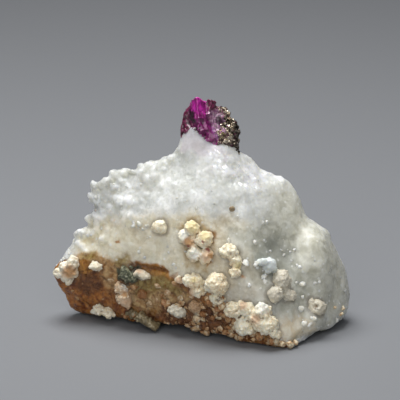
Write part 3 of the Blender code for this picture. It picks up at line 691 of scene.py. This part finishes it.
GRAVEL = [
    (-4.2, -13.9, 1.3, 0.75), (-5.7, -17.2, 1.6, 0.6), (-3.2, -17.0, 0.6, 0.65), (1.5, -17.2, 1.2, 0.5),
    (-11.0, -14.5, 1.3, 0.7), (-9.5, -15.8, 1.6, 0.45), (-1.4, -21.5, 0.8, 0.7), (1.0, -22.3, 1.1, 0.8),
    (-21.2, -15.1, 0.5, 0.8), (-11.1, -19.0, 1.6, 0.5), (-9.9, -19.1, 1.1, 0.45), (-12.4, -19.4, 0.9, 0.6),
    (5.1, -18.0, 2.1, 0.7), (4.9, -19.9, 1.3, 0.6), (4.8, -21.2, 1.2, 0.6), (5.7, -20.4, 0.8, 0.8),
    (6.8, -22.9, 1.1, 0.85), (8.9, -23.2, 0.9, 0.8), (10.1, -22.6, 1.7, 0.65), (4.4, -22.0, 1.3, 0.55),
    (14.9, -24.0, 1.4, 1.0), (13.9, -24.0, 1.1, 1.0), (15.9, -23.8, 1.1, 1.0), (12.0, -23.6, 1.0, 0.6),
    (0.5, -22.1, 0.8, 0.5), (23.8, -18.0, 0.9, 1.0), (22.5, -17.9, 0.6, 1.0), (23.5, -19.0, 0.7, 0.95),
    (2.9, -15.5, 1.4, 0.75), (1.6, -15.9, 0.9, 0.6), (3.6, -16.3, 1.0, 0.6), (-5.3, -20.5, 0.6, 0.8),
    (0.4, -18.9, 1.3, 0.45), (2.2, -19.6, 1.1, 0.4), (3.0, -18.2, 1.2, 0.5), (-1.0, -17.2, 0.9, 0.45),
]
CRUMBS = {"Density": 2.6, "Apart": 0.36, "Narrow": 0.25, "Wide": 0.8, "Sunk": 0.22}
BAND_GRAINS = {"Density": 5.0, "Apart": 0.36, "Narrow": 0.3, "Wide": 1.9, "Sunk": 0.34}
# Where the crumbs lie, and how thickly.
CRUMB_PLACES = [
    (1.0, [(-20, -4), (-18, -4.6), (-21.4, -9.0), (-24.6, -10.5)]),
    (0.9, [(-12, -3.7), (-8.6, -3.5), (-8.4, -4.8), (-11.8, -4.9)]),
    (0.12, [(-20, 4), (-12, 6), (-6, 7.5), (-6, 5), (-12, 1.5), (-15, -3), (-18, -5.5)]),
    (0.25, [(14, -23.4), (20, -20.8), (25, -17.6), (25.5, -20), (14, -25)]),
    (0.07, [(6, -4), (15, -2), (18, -8), (25, -13), (25, -19), (14, -24.5), (12, -16), (6, -12)]),
    (0.04, [(-16, -1), (2, 2), (6, -12), (0, -12), (-12, -9), (-20, -7)]),
]
GRAIN_PLACES = [
    (1.0, [(3.6, -16.6), (9, -20.6), (13.4, -23), (13.6, -24.6), (4, -24.4), (0, -22.8), (4, -20.4)]),
    (0.7, [(-3.6, -15.4), (2, -15.8), (5, -19), (1, -23), (-6, -21.4), (-6.6, -17.6)]),
    (0.2, [(-13.4, -13.6), (-4, -14.2), (-3, -18), (-12, -20.6), (-15, -19.6), (-13.6, -16)]),
    (0.06, [(-24.6, -10.6), (-13.4, -10.6), (-14, -19), (-20.6, -18.4)]),
]
GRAVEL_TINTS = [
    (0.0, (0.16, 0.06, 0.018)), (0.45, (0.33, 0.15, 0.055)),
    (0.75, (0.59, 0.38, 0.20)), (1.0, (0.90, 0.80, 0.59)),
]
MINERAL_BUMP = 0.06  # how high a mineral's finest grain stands
GROUND_CLEAR = 0.4  # no strewn grain starts lower than this
CALCITE = [(0, (0.76, 0.72, 0.60)), (1, (0.93, 0.91, 0.82))]


def ramp(tree, share, stops):
    """The colour at this share of a run of colours, each given with its place."""
    made = add_node(tree, "ShaderNodeValToRGB", {"Fac": share})
    elements = made.color_ramp.elements
    while len(elements) < len(stops):
        elements.new(1.0)
    for element, (place, stop) in zip(elements, stops):
        element.position = place
        element.color = (*stop, 1)
    return made.outputs["Color"]


def mineral(name, stops, roughness, soft, reach, pit=None, grain=0.5, spread=0.6, spots=()):
    """A mineral's finish: a run of colours mixed by grain and tint, with spots, and darker in its pits,
    which is painted shade.

    Light gets into it to the share that soft says, and spreads as far as reach says.
    """
    material, tree = new_tree(name)
    where = place_in(tree)
    fine = ranged(tree, noise_at(tree, where, grain), 0.3, 0.7, 0, spread)
    colour = ramp(tree, maths(tree, "ADD", fine, times(tree, kept_value(tree, "tint"), 1 - spread)), stops)
    for spot, spot_colour in dict(spots).items():
        colour = mixed(tree, kept_value(tree, spot), colour, spot_colour)
    # Painted shade: the pit colour darkens the pits and creases.
    if pit:
        colour = mixed(tree, times(tree, kept_value(tree, "pits"), 0.8), colour, pit)
    height = noise_at(tree, where, grain * 0.4, detail=2)
    sockets = {"Strength": 0.7, "Distance": MINERAL_BUMP * MM, "Height": height}
    bump = add_node(tree, "ShaderNodeBump", sockets)
    fill(tree, tree.nodes["Principled BSDF"], {
        "Base Color": colour, "Roughness": roughness, "Normal": bump.outputs["Normal"],
        "Subsurface Weight": soft, "Subsurface Scale": reach * MM, "Subsurface Radius": (1.0, 0.9, 0.75),
    })
    return material


def strewn_piece(name, finish, where_thick, sizes, seed):
    """Grains strewn over the marble's front, as thickly as each outline says."""
    mesh = marble_skin.data.copy()
    shares = [thick * zone_share(skin_places, 0.7, [corners]) for thick, corners in where_thick]
    clear = get_points(mesh)[:, 2] > GROUND_CLEAR
    set_attributes(mesh, thick=np.max(shares, axis=0) * (0.1 + 0.9 * facing) * clear)
    made = new_object(name, mesh)
    add_group(made, strewing(name, finish, "thick", rough=0.9, keep_skin=False), **sizes, Seed=seed)
    bake_modifiers(made)
    return made


skin_places = seen(get_points(marble_skin.data))
calcite = mineral("white calcite", CALCITE, 0.6, soft=0.8, reach=1.0)
gravel = mineral("gravel", GRAVEL_TINTS, 0.5, soft=0.6, reach=0.5, spread=0.3)
beads = beads_on("calcite_beads", marble_surface, BEADS, calcite, lift=-0.15, rough=1.1)
finish_piece(beads, "white_mineral")
finish_piece(strewn_piece("calcite_crumbs", calcite, CRUMB_PLACES, CRUMBS, 5), "white_mineral")
pebbles = beads_on("placed_gravel", marble_surface, GRAVEL, gravel, rough=1.3, seed=2)
finish_piece(pebbles, "brownish_mineral")
finish_piece(strewn_piece("band_grains", gravel, GRAIN_PLACES, BAND_GRAINS, 6), "brownish_mineral")


# Ruby. One broken crystal, glassy and magenta in the blade down its middle, wine red on the left and on
# top, and pinkish grey where it is bruised. It grew in the marble and stands out of the summit. The gap to
# the pyrite is closed here: both solids are swelled until they meet, given one skin, and shrunk again.
RUBY_CLOSE = 0.5
RUBY_VOXEL = 0.13
RUBY_BREAKS = (0.9, 0.35)  # width and tilt of its facets
RUBY_FIBRES = (0.4, 0.3)  # width and tilt of the long narrow facets of the blade
RUBY_GRAINS = (0.7, 0.22)  # width and height of the grains on the rest
RUBY_TEAR = 0.5
RUBY_WINE = ((0.06, 0.002, 0.018), (0.24, 0.025, 0.10))
# Colour of the painted shade in the ruby's pits.
RUBY_PIT_SHADE = (0.03, 0.001, 0.012)
# Its zones, as the marble's.
RUBY_ZONES = {
    "blade": (0.3, (0.24, 0.002, 0.15), (0.66, 0.03, 0.43), [
        [(-1.6, 17.8), (1.0, 17.8), (1.2, 14.8), (1.4, 13.0), (3.0, 11.2), (3.2, 8.8), (1.8, 8.8),
         (-0.2, 10.6), (-1.0, 12.8), (-1.6, 14.8)],
    ]),
    "plum": (0.9, (0.13, 0.003, 0.07), (0.40, 0.03, 0.25), [
        [(-1.2, 14.4), (1.2, 14.6), (1.4, 13.0), (3.0, 11.2), (3.2, 8.8), (1.8, 8.8), (-0.2, 10.6),
         (-1.0, 12.8)],
    ]),
    "violet": (0.35, (0.16, 0.02, 0.15), (0.38, 0.08, 0.31), [
        [(1.7, 13.0), (2.6, 12.4), (3.3, 10.4), (2.8, 9.8), (1.9, 11.4)],
    ]),
    "ash": (0.35, (0.26, 0.10, 0.21), (0.66, 0.42, 0.55), [
        [(1.4, 14.9), (3.2, 14.9), (4.6, 12.6), (4.2, 11.0), (2.9, 11.6), (1.6, 13.0)],
    ]),
    "pit": (0.25, (0.012, 0.001, 0.008), (0.06, 0.004, 0.03), [
        [(2.6, 14.2), (3.4, 14.0), (4.3, 12.8), (3.7, 12.2), (2.8, 13.2)],
        [(-1.7, 15.2), (-0.9, 14.6), (-0.9, 13.0), (-1.9, 13.4)],
    ]),
}
RUBY_MIDDLE = (2.2, 12.4)
# Where the broken outline of the ruby falls short of its solid: right, up, half width, half height, turn,
# and how far it is drawn in towards the middle.
RUBY_NOTCHES = [
    (-3.0, 15.5, 0.9, 0.9, 0, 0.4), (0.55, 17.1, 0.7, 0.8, 0, 0.7), (-1.6, 17.3, 0.7, 0.6, 0, 0.5),
    (3.4, 16.7, 0.8, 0.7, 0, 0.4), (5.7, 14.8, 1.3, 1.5, 0, 0.7), (7.0, 12.2, 1.0, 1.0, 0, 0.3),
    (7.3, 9.3, 0.9, 1.0, 0, 0.6),
]
SINK_REACH = 0.75  # how near to the marble a point of a solid has to be to be pulled into it
SINK_DEPTH = 0.35


def swell(thing, amount):
    mesh = thing.data
    set_points(mesh, get_points(mesh) + get_points(mesh, "normal") * amount)


def drawn_in(points):
    """The points moved in towards the ruby's middle, as far as its notches say."""
    inward = RUBY_MIDDLE - seen(points)
    inward *= (swells(seen(points), RUBY_NOTCHES) / np.linalg.norm(inward, axis=1))[:, None]
    return points + inward @ np.array((VIEW_RIGHT, VIEW_UP))


def sink(mesh):
    """Pulls what is next to the solid of the marble into its skin, so that no gap shows."""
    points = get_points(mesh)
    for number, point in enumerate(points):
        _, normal, _, away = marble_solid.find_nearest(Vector(point) * MM)
        pull = float(smooth_step(-away / MM, -SINK_REACH, -0.4 * SINK_REACH))
        if pull:
            down = marble_surface.ray_cast(Vector(point) * MM, -normal, 2 * MM)[3] or 0.0
            points[number] -= np.array(normal) * pull * (down / MM + SINK_DEPTH)
    set_points(mesh, points)


marble_solid = surface_of(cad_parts["marble_matrix"].data)
corundum, tree = new_tree("ruby")
where = place_in(tree)
sockets = {"Vector": where, "Rotation": (0, math.radians(24), 0), "Scale": (1, 1, 0.22)}
fibres = noise_at(tree, add_node(tree, "ShaderNodeMapping", sockets).outputs[0], 0.3)
veins = noise_at(tree, where, 0.6, detail=4, warp=0.6)
streaks = maths(tree, "ADD", times(tree, fibres, 0.6), times(tree, veins, 0.4))
colour = mixed(tree, ranged(tree, veins, 0.4, 0.65), *RUBY_WINE)
for name, (_, dark, light, _) in RUBY_ZONES.items():
    patchy = mixed(tree, ranged(tree, streaks, 0.4, 0.62), dark, light)
    colour = mixed(tree, kept_value(tree, name), colour, patchy)
# Painted shade: the ruby is darker in its pits.
colour = mixed(tree, times(tree, kept_value(tree, "pits"), 0.6), colour, RUBY_PIT_SHADE)
bump = add_node(tree, "ShaderNodeBump", {"Strength": 0.9, "Distance": 0.08 * MM, "Height": streaks})
fill(tree, tree.nodes["Principled BSDF"], {
    "Base Color": colour, "Roughness": 0.36, "IOR": 1.76, "Normal": bump.outputs["Normal"],
    "Subsurface Weight": 0.3, "Subsurface Radius": (1.0, 0.1, 0.5), "Subsurface Scale": 0.4 * MM,
})

ruby = fresh_copy("ruby_surface", "ruby_crystal")
join_into(ruby, fresh_copy("crust", "pyrite_crust"))
swell(ruby, RUBY_CLOSE)
remeshed(ruby, RUBY_VOXEL, 4)
swell(ruby, -RUBY_CLOSE)
remeshed(ruby, RUBY_VOXEL, 2)
sink(ruby.data)
points = get_points(ruby.data)
normals = get_points(ruby.data, "normal")
torn = torn_places(points, RUBY_TEAR)
zones = zone_shares(torn, RUBY_ZONES)
height = broken(points, *RUBY_BREAKS, 51, fall=70, stretch=2.0)
height += RUBY_GRAINS[1] * (grainy(points, RUBY_GRAINS[0], 53) - 0.5) * (1 - zones["blade"])
height += broken(points, *RUBY_FIBRES, 52, fall=66, stretch=4) * zones["blade"]
points = drawn_in(points + normals * height[:, None])
set_points(ruby.data, points)
set_attributes(ruby.data, **zones, pits=smooth_step(hollows(ruby.data, points), 0.0, 0.05))


# Pyrite crust. Small brassy cubes, tarnished almost black at the outer edge, have grown over each other on
# the ruby's right side. Geometry nodes set a layer of them over the crust's solid and over the ruby by it.
PYRITE_GRAINS = {"Density": 40.0, "Apart": 0.13, "Narrow": 0.13, "Wide": 0.38, "Sunk": 0.15}
CRUST_PLACE = [
    (2.9, 16.4), (3.6, 16.4), (5.4, 15.2), (7.4, 12), (7.4, 6.5), (3, 8.6), (2.8, 11.2), (4.2, 11.8),
    (4.6, 13.4), (2.7, 15.4),
]
# Grains of the spur that runs down over the marble: right, up and width of each.
PYRITE_SPUR = [
    (6.0, 8.7, 0.6), (6.3, 8.4, 0.6), (6.45, 8.0, 0.5), (6.1, 8.3, 0.5), (6.5, 8.7, 0.5), (6.5, 7.7, 0.35),
]
PYRITE_TONES = [(0.1, (0.02, 0.015, 0.011)), (0.5, (0.31, 0.25, 0.18)), (0.85, (0.93, 0.82, 0.66))]
# Its zones: how soft each one's edge is, its colour, how strong that is, and the outlines.
PYRITE_ZONES = {
    "gilt": (0.4, (0.30, 0.26, 0.08), 0.5, [[(2.8, 11.8), (4.3, 11.6), (4.4, 10.0), (3.0, 10.0)]]),
    "tarnish": (0.5, (0.02, 0.018, 0.018), 0.7, [
        [(5.6, 13), (7.4, 13), (7.4, 6), (2.4, 8), (2.6, 9.4), (5.4, 9.6)],
    ]),
}
PYRITE_TEAR = 0.4
brass, tree = new_tree("tarnished brass")
tarnish = ranged(tree, noise_at(tree, place_in(tree), 0.5, detail=4), 0.35, 0.65, 0, 0.5)
colour = ramp(tree, maths(tree, "ADD", tarnish, times(tree, kept_value(tree, "tint"), 0.5)), PYRITE_TONES)
for name, (_, tone, most, _) in PYRITE_ZONES.items():
    colour = mixed(tree, times(tree, kept_value(tree, name), most), colour, tone)
fill(tree, tree.nodes["Principled BSDF"], {"Base Color": colour, "Metallic": 1.0, "Roughness": 0.28})
pyrite = fresh_copy("pyrite_surface", "pyrite_crust")
remeshed(pyrite, RUBY_VOXEL, 12)
sink(pyrite.data)
set_points(pyrite.data, drawn_in(get_points(pyrite.data)))
set_attributes(pyrite.data, crust=np.ones(len(pyrite.data.vertices)))
over_ruby = new_object("grains over the ruby", ruby.data.copy())
set_attributes(over_ruby.data, crust=zone_share(torn, 0.2, [CRUST_PLACE]))
for thing, seed in ((over_ruby, 8), (pyrite, 3)):
    cubes = strewing("pyrite grains", brass, "crust", cubes=True, keep_skin=thing == pyrite)
    add_group(thing, cubes, **PYRITE_GRAINS, Seed=seed)
    bake_modifiers(thing)
join_into(pyrite, over_ruby)
join_into(pyrite, beads_on("spur", marble_surface, PYRITE_SPUR, brass, detail=2, rough=1.4))
set_attributes(pyrite.data, **zone_shares(torn_places(get_points(pyrite.data), PYRITE_TEAR), PYRITE_ZONES))
finish_piece(ruby, "ruby", "ruby_crystal", finish=corundum)
finish_piece(pyrite, "pyrite", "pyrite_crust", smooth=False)


# Nodules and grains. Cream, white, pale and brownish minerals sit half sunk in the front. Each is a clump
# of fine granules: the solid is worn smooth and sunk into the marble, geometry nodes strew granules over it,
# and one skin joins them.
CREAM = ((0, (0.70, 0.54, 0.33)), (0.5, (0.95, 0.85, 0.64)), (1, (0.98, 0.94, 0.81)))
WHITE = ((0, (0.74, 0.63, 0.43)), (1, (0.95, 0.91, 0.79)))
PALE = ((0, (0.52, 0.47, 0.36)), (1, (0.77, 0.725, 0.61)))
ICE = ((0, (0.62, 0.67, 0.65)), (1, (0.81, 0.85, 0.83)))
TAN = ((0, (0.34, 0.19, 0.09)), (0.6, (0.64, 0.45, 0.28)), (1, (0.84, 0.74, 0.58)))
# Each piece: its slot, its colours, its granules' least and greatest width, how many there are on a square
# millimetre, and how high its finest grain stands.
NODULES = {
    "round_nodule": ("cream_mineral", CREAM, (0.3, 0.55), 6.0, 0.06),
    "knobbly_nodule": ("cream_mineral", CREAM, (0.35, 0.9), 4.0, 0.09),
    "lone_cream_grain": ("cream_mineral", CREAM, (0.3, 0.5), 0.3, 0.11),
    "grain_rosette": ("cream_mineral", CREAM, (0.3, 0.55), 2.5, 0.06),
    "grain_chain": ("cream_mineral", CREAM, (0.35, 0.8), 3.5, 0.09),
    "foot_nodules": ("cream_mineral", CREAM, (0.3, 0.85), 5.0, 0.07),
    "tip_crust": ("cream_mineral", WHITE, (0.3, 0.8), 7.0, 0.07),
    "ring_nodule": ("pale_mineral", PALE, (0.25, 0.45), 3.0, 0.05),
    "pale_nodules": ("pale_mineral", PALE, (0.3, 0.55), 5.0, 0.05),
    "blue_white_chunk": ("blue_white_mineral", ICE, (0.3, 0.5), 0.2, 0.07),
    "ledge_grain": ("white_mineral", WHITE, (0.3, 0.7), 3.0, 0.08),
    "under_ledge_lump": ("white_mineral", WHITE, (0.3, 0.8), 3.0, 0.08),
    "dish_grain": ("white_mineral", WHITE, (0.25, 0.5), 2.0, 0.06),
    "base_grain": ("white_mineral", PALE, (0.35, 0.9), 4.0, 0.08),
    "ledge_nodule": ("brownish_mineral", TAN, (0.3, 0.7), 2.0, 0.08),
    "slab_grain": ("brownish_mineral", TAN, (0.3, 0.5), 0.4, 0.05),
}
NODULE_VOXEL = 0.12
# Colour of the painted shade in the nodules' pits and creases.
NODULE_PIT_SHADE = (0.24, 0.13, 0.055)
NODULE_BREAKS = (0.9, 3.2)  # width of the facets, and their tilt as a multiple of the finest grain
NODULE_TEAR = 0.3
# Spots of another colour, each seen at right and up, and with its radius.
SPOTS = {
    "straw": [
        (-1.3, -4.3, 1.3), (6.3, -10.9, 0.8), (-1.0, -13.3, 0.5), (0.8, -6.0, 0.9), (-16.6, -20.0, 1.0),
    ],
    "rosy": [
        (1.1, -9.4, 1.1), (-10.2, -11.3, 1.0), (-12.4, -17.2, 1.0), (7.2, -17.6, 0.8), (-2.2, -15.5, 1.2),
        (-3.6, -13.5, 0.7), (9.2, -19.9, 0.9),
    ],
    "ochre": [(-1.9, -7.0, 1.0), (-21.8, -12.0, 1.3), (-12.6, -15.8, 0.5), (1.9, -9.2, 0.5)],
    "chalk": [(-0.8, -9.0, 1.1), (-2.6, -5.8, 0.8), (-12.2, -14.2, 1.0), (10.5, -17.9, 1.2)],
    "red": [(0.6, -6.9, 0.32), (1.35, -8.3, 0.4), (-2.0, -7.7, 0.3)],
    # A dark green spot on the dish grain's lower left: painted shadow.
    "dark_green_and_shadow": [(-10.6, -13.2, 0.9)],
}
SPOT_COLOURS = {
    "straw": (0.87, 0.74, 0.41), "rosy": (0.76, 0.54, 0.36), "ochre": (0.60, 0.33, 0.14),
    "chalk": (0.96, 0.93, 0.84), "red": (0.28, 0.04, 0.02), "dark_green_and_shadow": (0.13, 0.13, 0.08),
}
# Dents, each seen at right and up, and with its radius and depth.
DENTS = [(19.4, -17.8, 0.8, 0.5), (5.2, -9.0, 0.4, 0.2), (3.7, -16.9, 1.6, 0.6)]
# Lumps that fill a node out: right, up and width of each.
FILLING = {
    "blue_white_chunk": [(11.5, -10.5, 1.7), (11.9, -11.4, 1.7), (11.2, -11.8, 1.4)],
    "green_crystals": [
        (-12.7, -11.6, 1.3), (-12.0, -12.7, 1.3), (-11.2, -13.2, 1.0), (-13.0, -12.6, 1.1),
        (-10.8, -12.9, 0.8),
    ],
    "ledge_nodule": [(-13.4, -14.3, 1.6), (-12.1, -16.8, 1.9), (-13.6, -16.0, 1.1), (-12.4, -15.0, 1.2)],
    "foot_nodules": [(5.1, -18.0, 1.9), (8.4, -19.1, 0.8), (9.2, -19.5, 0.7), (12.6, -22.1, 1.3)],
    "knobbly_nodule": [(-3.4, -13.2, 0.9), (-0.4, -13.5, 1.2), (-1.2, -13.7, 1.3)],
    "grain_rosette": [(-0.8, -8.9, 2.1), (-0.9, -6.1, 0.9), (-3.0, -6.6, 0.8), (0.6, -10.4, 0.9)],
    "olive_crystal": [(-11.2, -18.9, 1.5), (-10.3, -19.0, 1.2), (-12.0, -18.9, 1.0)],
}

nodule_finishes = {}
for number, (node, (slot, stops, widths, thick, rough)) in enumerate(NODULES.items()):
    nodule = fresh_copy(node + "_surface", node)
    remeshed(nodule, NODULE_VOXEL, 3)
    sink(nodule.data)
    if stops not in nodule_finishes:
        nodule_finishes[stops] = mineral(
            slot.replace("_", " "), stops, 0.55, 0.5, 0.5, NODULE_PIT_SHADE, grain=0.3, spots=SPOT_COLOURS
        )
    finish = nodule_finishes[stops]
    if node in FILLING:
        join_into(nodule, beads_on("filling", marble_surface, FILLING[node], finish, 0.2, rough=1.2))
    granules = strewing(node + " granules", finish)
    add_group(nodule, granules, Density=thick, Apart=0.2, Narrow=widths[0], Wide=widths[1], Seed=number)
    remeshed(nodule, NODULE_VOXEL, 2)
    points = get_points(nodule.data)
    normals = get_points(nodule.data, "normal")
    height = rough * (wavy(points, 0.8, number) + grainy(points, 0.35, number) - 0.5)
    height += broken(points, NODULE_BREAKS[0], NODULE_BREAKS[1] * rough, number)
    for right, up, radius, depth in DENTS:
        reach = np.linalg.norm(seen(points) - (right, up), axis=1) / radius
        height -= depth * smooth_step(-reach, -1.0, -0.3) * smooth_step(-(normals @ VIEW_AHEAD), 0.2, 0.6)
    points += normals * height[:, None]
    set_points(nodule.data, points)
    # Where the nodules are painted darker, as shade in their creases and pits.
    creases = smooth_step(hollows(nodule.data, points, 14), 0.05, 0.16)
    pits = np.maximum(creases, 0.7 * smooth_step(hollows(nodule.data, points), 0.015, 0.08))
    set_attributes(nodule.data, pits=pits, tint=0.5 + wavy(points, 2.5, 60 + number))
    places = torn_places(points, NODULE_TEAR)
    for name, spots in SPOTS.items():
        reach = np.min([np.linalg.norm(places - spot[:2], axis=1) / spot[2] for spot in spots], axis=0)
        set_attributes(nodule.data, **{name: 0.9 * smooth_step(-reach, -1.3, -0.4)})
    finish_piece(nodule, slot, node, finish=finish)


# Green and olive crystals. A patch of small dark green crystals sits on the stained ledge, and a long olive
# one, worn rounder, sticks out under the front. Smaller breaks and grains roughen both.
GREEN = [(0, (0.035, 0.045, 0.03)), (0.5, (0.15, 0.16, 0.10)), (1, (0.46, 0.45, 0.31))]
OLIVE = [(0, (0.10, 0.075, 0.035)), (0.6, (0.27, 0.215, 0.12)), (1, (0.50, 0.43, 0.29))]
CRYSTAL_VOXEL = 0.1
# Each crystal: its slot, its colours, how many grains are on a square millimetre, and its smoothing steps.
GREENS = {
    "green_crystals": ("green_mineral", GREEN, 5.0, 1),
    "olive_crystal": ("olive_mineral", OLIVE, 0.4, 60),
}
for number, (node, (slot, stops, thick, wear)) in enumerate(GREENS.items()):
    crystal = fresh_copy(node + "_surface", node)
    remeshed(crystal, CRYSTAL_VOXEL, wear)
    sink(crystal.data)
    green = mineral(node.replace("_", " "), stops, 0.35, soft=0.2, reach=0.3, grain=0.35)
    join_into(crystal, beads_on("filling", marble_surface, FILLING[node], green, 0.1, rough=1.2))
    grains = strewing(node + " grains", green)
    add_group(crystal, grains, Density=thick, Apart=0.2, Narrow=0.3, Wide=0.65, Seed=number)
    remeshed(crystal, CRYSTAL_VOXEL, 0)
    points = get_points(crystal.data)
    normals = get_points(crystal.data, "normal")
    set_points(crystal.data, points + normals * broken(points, 0.45, 0.35, 80 + number, 50, 1.6)[:, None])
    set_attributes(crystal.data, tint=0.5 + wavy(points, 0.6, 70 + number))
    finish_piece(crystal, slot, node, finish=green)


# Amber grain. One glossy brown bead, half sunk in the white front.
AMBER_PLACE = (5.35, -1.5, 1.3)
AMBER = [(0, (0.24, 0.16, 0.08)), (1, (0.50, 0.42, 0.28))]
amber = mineral("amber grain", AMBER, 0.15, soft=0.3, reach=0.3)
amber_grain = beads_on("amber_grain", marble_surface, [AMBER_PLACE], amber, detail=4, rough=0.25, seed=2)
finish_piece(amber_grain, "olive_mineral")


# Floor, light and camera. The specimen stands on plain pale grey card under one large soft light, with a
# weak fill from the front. The camera looks at it from the front and a little above.
CARD = (0.221, 0.228, 0.241)
bpy.ops.mesh.primitive_plane_add(size=6)
card = bpy.context.object
card.name = "card"
card_finish, tree = new_tree("grey card")
weave = noise_at(tree, place_in(tree), 0.6)
paler = tuple(part * 1.03 for part in CARD)
fill(tree, tree.nodes["Principled BSDF"], {"Base Color": mixed(tree, weave, CARD, paler), "Roughness": 0.9})
card.data.materials.append(card_finish)


def add_light(name, place, target, size, watts):
    """A square soft light that faces the target."""
    lamp = bpy.data.lights.new(name, "AREA")
    lamp.size = size * MM
    lamp.energy = watts
    made = new_object(name, lamp)
    made.location = Vector(place) * MM
    made.rotation_euler = (Vector(target) - Vector(place)).to_track_quat("-Z", "Y").to_euler()


add_light("overhead softbox", (-38, 34, 304), (0, 0, 0), 200, 1.18)
add_light("front fill", (-50, -430, 260), (0, 0, 12), 400, 1.03)
world = bpy.data.worlds.new("studio")
world.use_nodes = True
fill(world.node_tree, world.node_tree.nodes["Background"], {"Color": (0.5, 0.52, 0.55), "Strength": 0.13})
bpy.context.scene.world = world
bpy.context.scene.view_settings.view_transform = "Standard"

SHOWN_WIDTH = 400 / 6  # the image's 400 pixels, six to a millimetre
camera = new_object("camera", bpy.data.cameras.new("camera"))
camera.location = Vector(EYE) * MM
camera.rotation_euler = Vector(VIEW_AHEAD).to_track_quat("-Z", "Y").to_euler()
camera.data.lens = camera.data.sensor_width * VIEW_DISTANCE / SHOWN_WIDTH
bpy.context.scene.camera = camera
